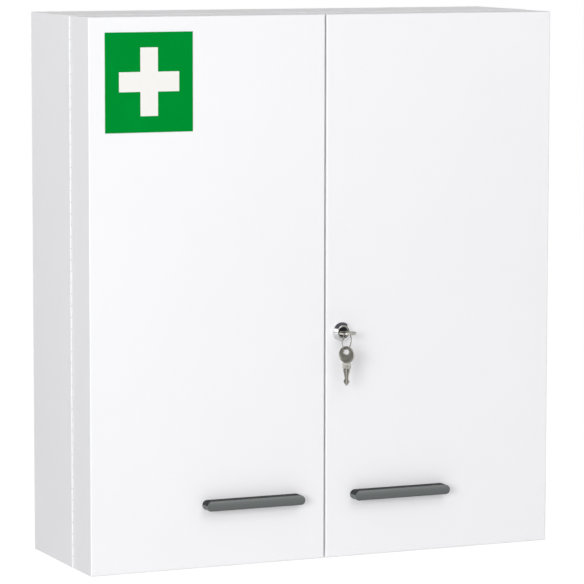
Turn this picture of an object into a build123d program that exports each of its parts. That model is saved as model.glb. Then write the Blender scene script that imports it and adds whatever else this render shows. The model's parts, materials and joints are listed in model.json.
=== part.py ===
from build123d import *
import math
import os

# A wall-hung medicine cabinet of folded sheet steel: an open carcass with three shelves, two deep
# doors on full-height hinges, a cam lock with two keys in the right door, and a hook bolt in the left.
#
# Frame, in millimetres: X to the right, Y towards the wall, Z up. The origin is the centre of the
# carcass's underside. "side" is -1 for what belongs to the left door and +1 for the right door.

# ---------------------------------------------------------------- overall sizes
width = 550.0
height = 600.0
depth = 180.0  # from the wall to the door fronts
sheet = 0.8  # steel sheet of the carcass, doors, shelves and trays
bend = 1.4  # outer radius of a folded edge
door_depth = 54.0
door_gap = 2.0  # between the two doors
door_end_clearance = 0.6  # the door stops short of the carcass at top and bottom
fit = 0.3  # gap between pieces that pass or face each other without a fit
running = 0.05  # radial clearance of a pin or screw in its hole

# ---------------------------------------------------------------- continuous hinge
hinge_gap = 4.0  # between the carcass's front edge and the door's back edge
hinge_pin_radius = 0.95
knuckle_sides = 8  # flats round the outside of a rolled knuckle
knuckle_bore_sides = 4  # flats round its inside, all of them clear of the pin
leaf_thickness = 0.7
leaf_width = 14.0
knuckle_count = 48
knuckle_gap = 0.5
hinge_end_gap = 1.0  # from the carcass's ends to the first and last knuckle
leaf_end_gap = 2.4  # from the carcass's ends to the leaves, clear of the folded corners

# ---------------------------------------------------------------- carcass
back_flange = 14.0
front_flange = 12.0  # from the carcass's ends to the front rails' free edges
back_sheet = 0.7
wall_hole_radius = 3.5
wall_hole_spacing_x = 400.0
wall_hole_spacing_z = 440.0
shelf_names = ("lower", "middle", "upper")  # shared out evenly over the height
shelf_lip = 15.0
shelf_set_back = 3.0  # from the hinge leaf to the shelf's front edge

# ---------------------------------------------------------------- doors
door_flange = 10.0  # from the door's ends to the return strips' free edges
lower_tray_rise = 20.0  # from the carcass's bottom
middle_tray_drop = 315.0  # from the carcass's top
upper_tray_drop = 160.0
tray_front_flange = 14.0
tray_lip = 35.0
tray_hem = 5.0
tray_hem_fall = 1.7  # the hem's edge lies this far below the lip's top
cam_slot_room = 1.5  # above and below the cam's sweep, in the meeting walls
cam_slot_side_room = 1.2

# ---------------------------------------------------------------- handles and sign
handle_length = 115.7
handle_height = 10.8
handle_depth = 15.0
handle_from_centre = 88.2
handle_level = 69.8
handle_edge = 2.0  # radius along the front's top and bottom edges
handle_groove_radius = 4.3
handle_groove_depth = 4.3
handle_lower_groove_radius = 7.0
handle_lower_groove_depth = 1.3
handle_groove_from_door = 6.6  # middle of both grooves
handle_screw_spacing = 80.0
screw_sides = 12  # flats round the hidden screws and their holes
handle_screw_radius = 1.9
handle_screw_depth = 9.0
screw_hole_spare = 1.0  # a blind hole is this much deeper than its screw
screw_head_radius = 3.8  # to the hexagon's corners
screw_head_height = 2.2
sign_width = 100.3
sign_height = 106.7
sign_thickness = 0.6
sign_from_side = 18.3
sign_from_top = 17.0

# ---------------------------------------------------------------- lock and keys
lock_from_centre = 19.3
lock_level = 251.6
bezel_radius = 11.1
bezel_front_radius = 8.4
bezel_height = 6.0
bezel_rim = 1.0
barrel_radius = 9.3
barrel_flat_cut = 1.1  # depth of the two flats that stop the barrel turning
barrel_length = 22.0
plug_wall = 2.05  # barrel left round the plug
plug_lip = 0.9
plug_lip_in = 0.55  # the lip holds the plug's edge by this much
nut_across_flats = 23.0
nut_thickness = 3.5
cam_length = 30.0
cam_width = 11.0
cam_hub_radius = 8.0
cam_thickness = 2.0
cam_square = 6.0
cam_screw_radius = 1.6
cam_screw_length = 5.0  # below its head
cam_screw_head_radius = 4.6
key_bow_radius = 9.5
key_bow_overlap = 0.5  # the collar starts inside the round bow
key_thickness = 2.0
key_hole_radius = 3.2
key_hole_offset = 3.5  # from the bow's centre outwards
key_collar_width = 9.6
key_collar_length = 6.2
key_collar_thickness = 2.6
key_blade_width = 7.2
key_blade_edge = (  # distance from the collar, half width: shoulder, neck, spear and tip
    (-1.0, key_blade_width / 2),
    (3.2, key_blade_width / 2),
    (5.6, 2.8),
    (10.0, 1.9),
    (11.2, 1.9),
    (13.4, 3.2),
    (15.0, 3.2),
    (18.6, 0.7),
)
key_groove_width = 1.5
key_groove_depth = 0.45
key_groove_end = 2.0  # the groove stops short of the tip
key_stand_out = 17.0  # from the door front to the middle of the inserted key's bow
key_fit = 0.15
ring_radius = 9.5
ring_wire_radius = 0.55
ring_wire_sides = 6
ring_segments = 36
ring_turn = 34.3  # of the ring's plane from +X towards the wall, in degrees

# ---------------------------------------------------------------- left-door bolt, catches, bumpers
bolt_width = 10.0
bolt_thickness = 3.0
bolt_travel = 12.0
bolt_bar_drop = 100.0  # from the carcass's top to the bar's lower end
bolt_set_in = 36.0  # from the door front to the bolt's bar
bolt_arm_height = 6.0
bolt_hook_rise = 8.0
bolt_hook_thickness = 3.0
bolt_knob_radius = 4.0
bolt_knob_length = 7.0
bolt_knob_drop = 88.0
clip_sheet = 1.2
clip_height = 12.0
clip_foot = 5.0
clip_drops = (70.0, 44.0)  # from the carcass's top to the clips' undersides
catch_length = 34.0
catch_height = 9.0
catch_level = 7.0  # of catches and bumpers, from the carcass's ends
catch_from_centre = 70.0
strike_length = 38.0
strike_height = 7.0
strike_thickness = 0.7
catch_thickness = hinge_gap - strike_thickness - fit
bumper_size = 8.0
bumper_from_centre = (24.0, 235.0)

# ---------------------------------------------------------------- places worked out from the sizes
body_depth = depth - door_depth - hinge_gap
back_y = body_depth / 2
front_y = -body_depth / 2
hinge_y = front_y - hinge_gap / 2
door_back_y = front_y - hinge_gap
door_front_y = door_back_y - door_depth

side_x = width / 2
inner_x = side_x - sheet
leaf_x = inner_x - leaf_thickness  # inner face of the hinge leaves
knuckle_radius = hinge_pin_radius + running + leaf_thickness
hinge_x = leaf_x + knuckle_radius
knuckle_pitch = (height - 2 * hinge_end_gap) / knuckle_count
rail_in = (sheet + front_flange) / 2  # middle of a front rail, from the carcass's end
return_in = door_end_clearance + (sheet + door_flange) / 2

door_width = side_x - door_gap / 2
door_height = height - 2 * door_end_clearance
tray_levels = {
    "lower": lower_tray_rise,
    "middle": height - middle_tray_drop,
    "upper": height - upper_tray_drop,
}
bolt_bar_bottom = height - bolt_bar_drop
bolt_knob_level = height - bolt_knob_drop
clip_levels = [height - drop for drop in clip_drops]
meeting_x = door_gap / 2 + sheet  # inner face of the meeting wall, from the centre
wall_start_y = door_front_y + bend  # the flat of a door's walls starts behind the bends
end_wall_in = door_end_clearance + sheet / 2  # middle of a door's end wall, from the carcass's end

barrel_flats = 2 * (barrel_radius - barrel_flat_cut)
plug_radius = barrel_radius - plug_wall
plug_lip_radius = plug_radius - plug_lip_in
lock_y = door_front_y + barrel_length  # back end of the lock's barrel
cam_y = lock_y + fit
key_hole_y = door_front_y - key_stand_out - key_hole_offset
collar_start = key_hole_offset + key_bow_radius - key_bow_overlap  # from the bow's hole
blade_start = collar_start + key_collar_length
blade_tip = blade_start + key_blade_edge[-1][0]


def facing_front(y):
    """A plane across the cabinet at depth y. Its extrusions grow towards the doors, along -Y."""
    return Plane.XZ.offset(-y)


def lock_profile_plane():
    """A level plane through the lock's axis: local X runs into the door, local Y is the radius."""
    return Plane(
        origin=(lock_from_centre, door_front_y, lock_level), x_dir=(0, 1, 0), z_dir=(0, 0, 1)
    )


def lock_section(y):
    """A plane across the lock at depth y, with the lock's axis as its origin, growing along -Y."""
    return Plane(origin=(lock_from_centre, y, lock_level), x_dir=(1, 0, 0), z_dir=(0, -1, 0))


def save(piece, name):
    """Labels a finished piece and writes it under the same name."""
    piece.part.label = name
    export_step(piece.part, f"parts/{name}.step")


# ---------------------------------------------------------------- carcass


def make_carcass():
    with BuildPart() as carcass:
        with BuildSketch(facing_front(back_y)):
            with Locations((0, height / 2)):
                RectangleRounded(width, height, bend)
                RectangleRounded(
                    width - 2 * sheet, height - 2 * sheet, bend - sheet, mode=Mode.SUBTRACT
                )
        extrude(amount=body_depth)
        # The back edges are folded in all round, and the back panel is welded to these flanges.
        with BuildSketch(facing_front(back_y)):
            with Locations((0, height / 2)):
                Rectangle(width - sheet, height - sheet)
                Rectangle(width - 2 * back_flange, height - 2 * back_flange, mode=Mode.SUBTRACT)
        extrude(amount=sheet)
    save(carcass, "carcass")


def make_front_rail(name, level):
    """A strip on edge, welded to the top or the bottom at the front, between the hinge leaves."""
    with BuildPart() as front_rail:
        with BuildSketch(facing_front(front_y + sheet)):
            with Locations((0, level)):
                Rectangle(2 * (leaf_x - 2 * fit), front_flange - sheet)
        extrude(amount=sheet)
    save(front_rail, name)


def make_back_panel():
    with BuildPart() as back_panel:
        with BuildSketch(facing_front(back_y - sheet)):
            with Locations((0, height / 2)):
                Rectangle(width - 2 * (sheet + fit), height - 2 * (sheet + fit))
                with GridLocations(wall_hole_spacing_x, wall_hole_spacing_z, 2, 2):
                    Circle(wall_hole_radius, mode=Mode.SUBTRACT)
        extrude(amount=back_sheet)
    save(back_panel, "back_panel")


def make_shelf(name, level):
    """A shelf pan with its four edges folded down. Its sides meet the carcass, its back the panel."""
    shelf_front = front_y + leaf_width + shelf_set_back
    shelf_back = back_y - sheet - back_sheet
    with BuildPart() as shelf:
        with BuildSketch(Plane.XY.offset(level)):
            with Locations((0, (shelf_front + shelf_back) / 2)):
                Rectangle(width - 2 * sheet, shelf_back - shelf_front)
        extrude(amount=-shelf_lip)
        top_edges = shelf.edges().filter_by(Axis.X).group_by(Axis.Z)[-1]
        fillet(top_edges.sort_by(Axis.Y)[0], bend)
        offset(amount=-sheet, openings=shelf.faces().sort_by(Axis.Z)[0])
    save(shelf, f"shelf_{name}")


# ---------------------------------------------------------------- continuous hinges


def make_hinge_leaf(name, side, towards, first):
    """One leaf: a strip on the inner side of the sheet, and every second knuckle round the pin.

    towards is +1 for the carcass's leaf, which runs back from the pin, and -1 for the door's.
    """
    knuckle_floors = [
        Plane.XY.offset(hinge_end_gap + index * knuckle_pitch + knuckle_gap / 2)
        for index in range(first, knuckle_count, 2)
    ]
    leaf_middle_x = side * (leaf_x + leaf_thickness / 2)
    with BuildPart() as leaf:
        with BuildSketch(*knuckle_floors):
            with Locations((side * hinge_x, hinge_y)):
                RegularPolygon(
                    knuckle_radius,
                    knuckle_sides,
                    major_radius=False,
                    rotation=180 / knuckle_sides,
                )
            with Locations((leaf_middle_x, hinge_y + towards * hinge_gap / 4)):
                Rectangle(leaf_thickness, hinge_gap / 2)
            with Locations((side * hinge_x, hinge_y)):
                RegularPolygon(
                    hinge_pin_radius + running,
                    knuckle_bore_sides,
                    major_radius=False,
                    mode=Mode.SUBTRACT,
                )
        extrude(amount=knuckle_pitch - knuckle_gap)
        with BuildSketch(Plane.XY.offset(leaf_end_gap)):
            with Locations((leaf_middle_x, hinge_y + towards * (hinge_gap + leaf_width) / 2)):
                Rectangle(leaf_thickness, leaf_width)
        extrude(amount=height - 2 * leaf_end_gap)
    save(leaf, name)


def make_hinge_pin(name, side):
    with BuildPart() as pin:
        with BuildSketch(Plane.XY.offset(hinge_end_gap)):
            with Locations((side * hinge_x, hinge_y)):
                Circle(hinge_pin_radius)
        extrude(amount=height - 2 * hinge_end_gap)
    save(pin, name)


# ---------------------------------------------------------------- doors


def barrel_outline(clearance):
    """The lock barrel's section, a circle with two flats, drawn in the current sketch."""
    Circle(barrel_radius + clearance)
    Rectangle(3 * barrel_radius, barrel_flats + 2 * clearance, mode=Mode.INTERSECT)


def handle_screw_places(side):
    middle = side * handle_from_centre
    reach = handle_screw_spacing / 2
    return [(middle - reach, handle_level), (middle + reach, handle_level)]


def make_door_front(name, side):
    """A door's front sheet with the bends along its four edges. The walls go on from the bends."""
    with BuildPart() as front:
        with BuildSketch(facing_front(door_back_y)):
            with Locations((side * (side_x - door_width / 2), height / 2)):
                Rectangle(door_width, door_height)
        extrude(amount=door_depth)
        fillet(front.faces().sort_by(Axis.Y)[0].edges(), bend)
        offset(amount=-sheet, openings=front.faces().sort_by(Axis.Y)[-1])
        split(bisect_by=facing_front(wall_start_y), keep=Keep.TOP)
        # Holes for the handle's screws.
        with BuildSketch(facing_front(door_front_y + 2 * sheet)):
            with Locations(*handle_screw_places(side)):
                RegularPolygon(handle_screw_radius + fit, screw_sides)
        extrude(amount=3 * sheet, mode=Mode.SUBTRACT)
        if side > 0:
            with BuildSketch(lock_section(door_front_y + 2 * sheet)):
                barrel_outline(2 * running)
            extrude(amount=3 * sheet, mode=Mode.SUBTRACT)
    save(front, name)


def make_hinge_wall(name, side):
    """The door's outer wall, which carries the hinge leaf."""
    with BuildPart() as wall:
        with BuildSketch(facing_front(door_back_y)):
            with Locations((side * (side_x - sheet / 2), height / 2)):
                Rectangle(sheet, door_height)
        extrude(amount=door_back_y - wall_start_y)
    save(wall, name)


def make_meeting_wall(name, side):
    """The door's wall at the middle of the cabinet, with the slot that the cam turns through."""
    cam_slot_height = cam_length + cam_width / 2 + 2 * cam_slot_room
    cam_slot_middle = lock_level + cam_width / 2 + cam_slot_room - cam_slot_height / 2
    cam_slot_depth = cam_thickness + 2 * cam_slot_side_room
    with BuildPart() as wall:
        with BuildSketch(Plane.YZ.offset(side * (meeting_x - sheet / 2))):
            with Locations(((wall_start_y + door_back_y) / 2, height / 2)):
                Rectangle(door_back_y - wall_start_y, door_height)
            with Locations((cam_y + cam_thickness / 2, cam_slot_middle)):
                Rectangle(cam_slot_depth, cam_slot_height, mode=Mode.SUBTRACT)
        extrude(amount=sheet / 2, both=True)
    save(wall, name)


def make_end_wall(name, side, level):
    """The door's top or bottom wall, between the other two."""
    with BuildPart() as wall:
        with BuildSketch(facing_front(door_back_y)):
            with Locations((side * (meeting_x + inner_x) / 2, level)):
                Rectangle(inner_x - meeting_x, sheet)
        extrude(amount=door_back_y - wall_start_y)
    save(wall, name)


def make_door_return(name, side, level):
    """A strip on edge, welded inside the door's top or bottom wall along its back."""
    far = leaf_x - 2 * fit  # clear of the hinge leaf
    with BuildPart() as door_return:
        with BuildSketch(facing_front(door_back_y)):
            with Locations((side * (meeting_x + far) / 2, level)):
                Rectangle(far - meeting_x, door_flange - sheet)
        extrude(amount=sheet)
    save(door_return, name)


def make_tray(name, side, level):
    """A door tray: welded to the door front by its flange, with a hemmed lip on the open side."""
    front = door_front_y + sheet
    back = door_back_y - sheet - fit
    near = meeting_x + bend - sheet + fit
    far = leaf_x - fit
    with BuildPart() as tray:
        with BuildSketch(Plane.YZ.offset(near if side > 0 else -far)):
            with BuildLine():
                FilletPolyline(
                    (front, level + tray_front_flange),
                    (front, level),
                    (back, level),
                    (back, level + tray_lip),
                    (back - tray_hem, level + tray_lip - tray_hem_fall),
                    radius=(0, bend, 0),
                )
                offset(amount=sheet, side=Side.LEFT)
            make_face()
        extrude(amount=far - near)
    save(tray, name)


# ---------------------------------------------------------------- handles and sign


def make_handle(name, side):
    """A moulded bar, waisted by a finger groove on top and a shallow one below. Its section runs
    the whole length, and is then cut to the outline with round ends."""
    groove_y = door_front_y - handle_groove_from_door
    top_z = handle_level + handle_height / 2
    bottom_z = handle_level - handle_height / 2
    lower_groove_z = bottom_z - handle_lower_groove_radius + handle_lower_groove_depth
    middle = side * handle_from_centre
    bar_front = door_front_y - handle_depth
    with BuildPart() as handle:
        with BuildSketch(Plane.YZ.offset(middle - handle_length / 2)):
            with BuildLine():
                FilletPolyline(
                    (door_front_y, bottom_z),
                    (bar_front, bottom_z),
                    (bar_front, top_z),
                    (door_front_y, top_z),
                    radius=handle_edge,
                )
                Line((door_front_y, top_z), (door_front_y, bottom_z))
            make_face()
            with Locations((groove_y, top_z + handle_groove_radius - handle_groove_depth)):
                Circle(handle_groove_radius, mode=Mode.SUBTRACT)
            with Locations((groove_y, lower_groove_z)):
                Circle(handle_lower_groove_radius, mode=Mode.SUBTRACT)
        extrude(amount=handle_length)
        with BuildSketch(facing_front(door_front_y)):
            with Locations((middle, handle_level)):
                SlotOverall(handle_length, handle_height)
        extrude(amount=handle_depth, mode=Mode.INTERSECT)
        with BuildSketch(facing_front(door_front_y)):
            with Locations(*handle_screw_places(side)):
                RegularPolygon(handle_screw_radius + running, screw_sides)
        extrude(amount=handle_screw_depth + screw_hole_spare, mode=Mode.SUBTRACT)
    save(handle, name)


def make_handle_screws(name, side):
    """Two hexagon-head screws, put through the door front from inside."""
    head_seat = door_front_y + sheet
    with BuildPart() as screws:
        with BuildSketch(facing_front(head_seat + screw_head_height)):
            with Locations(*handle_screw_places(side)):
                RegularPolygon(screw_head_radius, 6)
        extrude(amount=screw_head_height)
        with BuildSketch(facing_front(head_seat)):
            with Locations(*handle_screw_places(side)):
                RegularPolygon(handle_screw_radius, screw_sides)
        extrude(amount=sheet + handle_screw_depth)
    save(screws, name)


def make_sign_plate():
    sign_x = -side_x + sign_from_side + sign_width / 2
    sign_z = height - sign_from_top - sign_height / 2
    with BuildPart() as sign_plate:
        with BuildSketch(facing_front(door_front_y)):
            with Locations((sign_x, sign_z)):
                Rectangle(sign_width, sign_height)
        extrude(amount=sign_thickness)
    save(sign_plate, "sign_plate")


# ---------------------------------------------------------------- cam lock


def make_lock_housing():
    """A conical bezel in front of the door and a flatted barrel behind it, turned in one piece."""
    bore = plug_radius + running
    with BuildPart() as lock_housing:
        with BuildSketch(lock_profile_plane()):
            with BuildLine():
                Polyline(
                    (-bezel_height, plug_lip_radius),
                    (-bezel_height, bezel_front_radius),
                    (-bezel_rim, bezel_radius),
                    (0, bezel_radius),
                    (0, barrel_radius),
                    (barrel_length, barrel_radius),
                    (barrel_length, bore),
                    (-bezel_height + plug_lip, bore),
                    (-bezel_height + plug_lip, plug_lip_radius),
                    close=True,
                )
            make_face()
        revolve(axis=Axis((lock_from_centre, door_front_y, lock_level), (0, 1, 0)))
        with BuildSketch(
            Plane(
                origin=(lock_from_centre, door_front_y, lock_level),
                x_dir=(1, 0, 0),
                z_dir=(0, 1, 0),
            )
        ):
            with GridLocations(0, barrel_flats + barrel_flat_cut, 1, 2):
                Rectangle(2 * barrel_radius, barrel_flat_cut)
        extrude(amount=barrel_length, mode=Mode.SUBTRACT)
    save(lock_housing, "lock_housing")


def make_lock_nut():
    with BuildPart() as lock_nut:
        with BuildSketch(lock_section(door_front_y + sheet + nut_thickness)):
            RegularPolygon(nut_across_flats / 2, 6, major_radius=False)
            Circle(barrel_radius + running, mode=Mode.SUBTRACT)
        extrude(amount=nut_thickness)
    save(lock_nut, "lock_nut")


def make_lock_plug():
    """The turning core: a level keyway in front, a square stem for the cam behind."""
    front = door_front_y - bezel_height + plug_lip + running
    stem_back = cam_y + cam_thickness
    keyway_height = key_thickness + 2 * key_fit
    with BuildPart() as lock_plug:
        with BuildSketch(lock_section(lock_y)):
            Circle(plug_radius)
        extrude(amount=lock_y - front)
        with BuildSketch(lock_section(stem_back)):
            Rectangle(cam_square, cam_square)
        extrude(amount=stem_back - lock_y)
        with BuildSketch(lock_section(front)):
            Rectangle(key_blade_width + 2 * key_fit, keyway_height)
        extrude(amount=-(key_hole_y + blade_tip + 2 * key_fit - front), mode=Mode.SUBTRACT)
        with BuildSketch(lock_section(front)):
            Rectangle(key_collar_width + 2 * key_fit, key_collar_thickness + 2 * key_fit)
        extrude(amount=-(key_hole_y + blade_start + key_fit - front), mode=Mode.SUBTRACT)
        with BuildSketch(lock_section(stem_back)):
            RegularPolygon(cam_screw_radius + running, screw_sides)
        extrude(amount=cam_screw_length + screw_hole_spare, mode=Mode.SUBTRACT)
    save(lock_plug, "lock_plug")


def make_lock_cam():
    """A flat cam on the plug's square. Unlocked, it points down; a quarter turn points it left."""
    with BuildPart() as lock_cam:
        with BuildSketch(lock_section(cam_y + cam_thickness)):
            Circle(cam_hub_radius)
            with Locations((0, -(cam_length - cam_width / 2) / 2)):
                Rectangle(cam_width, cam_length - cam_width / 2)
            with Locations((0, -(cam_length - cam_width / 2))):
                Circle(cam_width / 2)
            Rectangle(
                cam_square + 2 * running, cam_square + 2 * running, mode=Mode.SUBTRACT
            )
        extrude(amount=cam_thickness)
    save(lock_cam, "lock_cam")


def make_cam_screw():
    head_seat = cam_y + cam_thickness
    with BuildPart() as cam_screw:
        with BuildSketch(lock_section(head_seat + screw_head_height)):
            RegularPolygon(cam_screw_head_radius, 6)
        extrude(amount=screw_head_height)
        with BuildSketch(lock_section(head_seat)):
            RegularPolygon(cam_screw_radius, screw_sides)
        extrude(amount=cam_screw_length)
    save(cam_screw, "cam_screw")


# ---------------------------------------------------------------- keys and ring


def make_key(name, plane):
    """A flat key on its own plane: the origin is the bow's hole, local Y runs to the tip."""
    right_edge = [(half_width, blade_start + along) for along, half_width in key_blade_edge]
    left_edge = [(-x, y) for x, y in reversed(right_edge)]
    groove_length = blade_tip - key_groove_end - blade_start
    with BuildPart() as key:
        with BuildSketch(plane):
            with Locations((0, key_hole_offset)):
                Circle(key_bow_radius)
            with BuildLine():
                Polyline(*right_edge, *left_edge, close=True)
            make_face()
            Circle(key_hole_radius, mode=Mode.SUBTRACT)
        extrude(amount=key_thickness / 2, both=True)
        with BuildSketch(plane):
            with Locations((0, collar_start + key_collar_length / 2)):
                Rectangle(key_collar_width, key_collar_length)
        extrude(amount=key_collar_thickness / 2, both=True)
        for face_side in (1, -1):
            with BuildSketch(plane.offset(face_side * key_thickness / 2)):
                with Locations((0, blade_start + groove_length / 2)):
                    Rectangle(key_groove_width, groove_length)
            extrude(amount=-face_side * key_groove_depth, mode=Mode.SUBTRACT)
    save(key, name)


def ring_places():
    """Direction of the ring's plane, the ring's centre, and the spare key's hole centre."""
    turn = math.radians(ring_turn)
    along = Vector(math.cos(turn), math.sin(turn), 0)
    # From the hole's centre, against "along", the bow's edge is this far away.
    reach = -key_hole_offset * along.Y + math.sqrt(
        key_bow_radius**2 - (key_hole_offset * along.X) ** 2
    )
    rim_middle = (key_hole_radius + reach) / 2
    half_rim = (reach - key_hole_radius) / 2
    inner_radius = ring_radius - ring_wire_radius
    drop = math.sqrt(inner_radius**2 - half_rim**2) - key_thickness / 2 - fit
    centre = Vector(lock_from_centre, key_hole_y, lock_level) - along * rim_middle
    centre = centre - Vector(0, 0, drop)
    hang = ring_radius - ring_wire_radius - fit + key_hole_radius
    return along, centre, centre - Vector(0, 0, hang)


def make_key_ring():
    """A closed wire ring, in short straight stretches with mitred joints."""
    along, centre, _ = ring_places()
    half_stretch = math.pi / ring_segments
    corners = [
        centre
        + along * (ring_radius * math.cos((2 * index + 1) * half_stretch))
        + Vector(0, 0, ring_radius * math.sin((2 * index + 1) * half_stretch))
        for index in range(ring_segments)
    ]
    with BuildPart() as key_ring:
        with BuildLine() as wire_path:
            Polyline(*corners, close=True)
        with BuildSketch(Plane(origin=(corners[-1] + corners[0]) / 2, z_dir=(0, 0, 1))):
            RegularPolygon(ring_wire_radius, ring_wire_sides)
        sweep(path=wire_path.wires()[0], transition=Transition.RIGHT)
    save(key_ring, "key_ring")


# ---------------------------------------------------------------- bolt, catches and bumpers


def make_door_bolt():
    """A flat bar that slides up the left meeting wall, with an arm whose hook passes behind the
    top front rail, and a knob to push it by."""
    near = -(meeting_x + fit)
    bar_front = door_front_y + bolt_set_in
    hook_front = front_y + sheet + 2 * fit
    hook_back = hook_front + bolt_hook_thickness
    arm_top = height - front_flange - bolt_travel - 3 * fit
    with BuildPart() as door_bolt:
        with BuildSketch(Plane.YZ.offset(near)):
            with BuildLine():
                Polyline(
                    (bar_front, bolt_bar_bottom),
                    (bar_front + bolt_width, bolt_bar_bottom),
                    (bar_front + bolt_width, arm_top - bolt_arm_height),
                    (hook_back, arm_top - bolt_arm_height),
                    (hook_back, arm_top + bolt_hook_rise),
                    (hook_front, arm_top + bolt_hook_rise),
                    (hook_front, arm_top),
                    (bar_front, arm_top),
                    close=True,
                )
            make_face()
        extrude(amount=-bolt_thickness)
        with BuildSketch(Plane.YZ.offset(near - bolt_thickness)):
            with Locations((bar_front + bolt_width / 2, bolt_knob_level)):
                Circle(bolt_knob_radius)
        extrude(amount=-bolt_knob_length)
    save(door_bolt, "door_bolt")


def make_bolt_guides():
    """Two hat-shaped clips welded to the meeting wall, round the bolt's bar."""
    bar_front = door_front_y + bolt_set_in
    inside_front = bar_front - fit
    inside_back = bar_front + bolt_width + fit
    wall = -meeting_x
    crown = wall - bolt_thickness - 2 * fit
    with BuildPart() as bolt_guides:
        with BuildSketch(*[Plane.XY.offset(level) for level in clip_levels]):
            with BuildLine():
                Polyline(
                    (wall, inside_front - clip_foot),
                    (wall, inside_front),
                    (crown, inside_front),
                    (crown, inside_back),
                    (wall, inside_back),
                    (wall, inside_back + clip_foot),
                    (wall - clip_sheet, inside_back + clip_foot),
                    (wall - clip_sheet, inside_back + clip_sheet),
                    (crown - clip_sheet, inside_back + clip_sheet),
                    (crown - clip_sheet, inside_front - clip_sheet),
                    (wall - clip_sheet, inside_front - clip_sheet),
                    (wall - clip_sheet, inside_front - clip_foot),
                    close=True,
                )
            make_face()
        extrude(amount=clip_height)
    save(bolt_guides, "bolt_guides")


def catch_places(side_list):
    """Middles of the magnetic catches in the gap, level with the rails at the top and the bottom."""
    levels = (catch_level, height - catch_level)
    return [(side * catch_from_centre, level) for side in side_list for level in levels]


def make_magnet_catches():
    with BuildPart() as magnet_catches:
        with BuildSketch(facing_front(front_y)):
            with Locations(*catch_places((-1, 1))):
                Rectangle(catch_length, catch_height)
        extrude(amount=catch_thickness)
    save(magnet_catches, "magnet_catches")


def make_strike_plates(name, side):
    with BuildPart() as strikes:
        with BuildSketch(facing_front(door_back_y + strike_thickness)):
            with Locations(*catch_places((side,))):
                Rectangle(strike_length, strike_height)
        extrude(amount=strike_thickness)
    save(strikes, name)


def make_door_bumpers():
    places = [(side * x, catch_level) for side in (-1, 1) for x in bumper_from_centre]
    with BuildPart() as door_bumpers:
        with BuildSketch(facing_front(front_y)):
            with Locations(*places):
                Rectangle(bumper_size, bumper_size)
        extrude(amount=hinge_gap - fit)
    save(door_bumpers, "door_bumpers")


# ---------------------------------------------------------------- the whole cabinet

os.makedirs("parts", exist_ok=True)

make_carcass()
make_back_panel()
make_front_rail("front_rail_bottom", rail_in)
make_front_rail("front_rail_top", height - rail_in)
for index, shelf_name in enumerate(shelf_names, start=1):
    make_shelf(shelf_name, height * index / (len(shelf_names) + 1))

for side_name, side in (("left", -1), ("right", 1)):
    make_hinge_leaf(f"{side_name}_hinge_carcass_leaf", side, 1, 0)
    make_hinge_leaf(f"{side_name}_hinge_door_leaf", side, -1, 1)
    make_hinge_pin(f"{side_name}_hinge_pin", side)
    make_door_front(f"{side_name}_door_front", side)
    make_hinge_wall(f"{side_name}_door_hinge_wall", side)
    make_meeting_wall(f"{side_name}_door_meeting_wall", side)
    make_end_wall(f"{side_name}_door_bottom_wall", side, end_wall_in)
    make_end_wall(f"{side_name}_door_top_wall", side, height - end_wall_in)
    make_door_return(f"{side_name}_door_return_bottom", side, return_in)
    make_door_return(f"{side_name}_door_return_top", side, height - return_in)
    for tray_name, tray_level in tray_levels.items():
        make_tray(f"{side_name}_tray_{tray_name}", side, tray_level)
    make_handle(f"{side_name}_handle", side)
    make_handle_screws(f"{side_name}_handle_screws", side)
    make_strike_plates(f"{side_name}_strike_plates", side)

make_sign_plate()
make_door_bolt()
make_bolt_guides()
make_magnet_catches()
make_door_bumpers()

make_lock_housing()
make_lock_nut()
make_lock_plug()
make_lock_cam()
make_cam_screw()

ring_along, _, spare_hole = ring_places()
make_key(
    "key",
    Plane(origin=(lock_from_centre, key_hole_y, lock_level), x_dir=(1, 0, 0), z_dir=(0, 0, 1)),
)
make_key_ring()
make_key(
    "spare_key",
    Plane(origin=spare_hole, x_dir=(ring_along.Y, -ring_along.X, 0), z_dir=ring_along),
)
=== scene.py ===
# %% [markdown]
# # A lockable medicine cabinet
# The cabinet is a folded steel box with two deep doors, a green sign, two grey handles and a cam
# lock with its keys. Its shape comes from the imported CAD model, which we load as a fixed frame.
# Blender adds the finishes, the small things that CAD leaves plain, the camera and the light.

# %% Load the frame
import json
import math

import bmesh
import bpy
import numpy as np
from mathutils import Matrix, Vector


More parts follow.
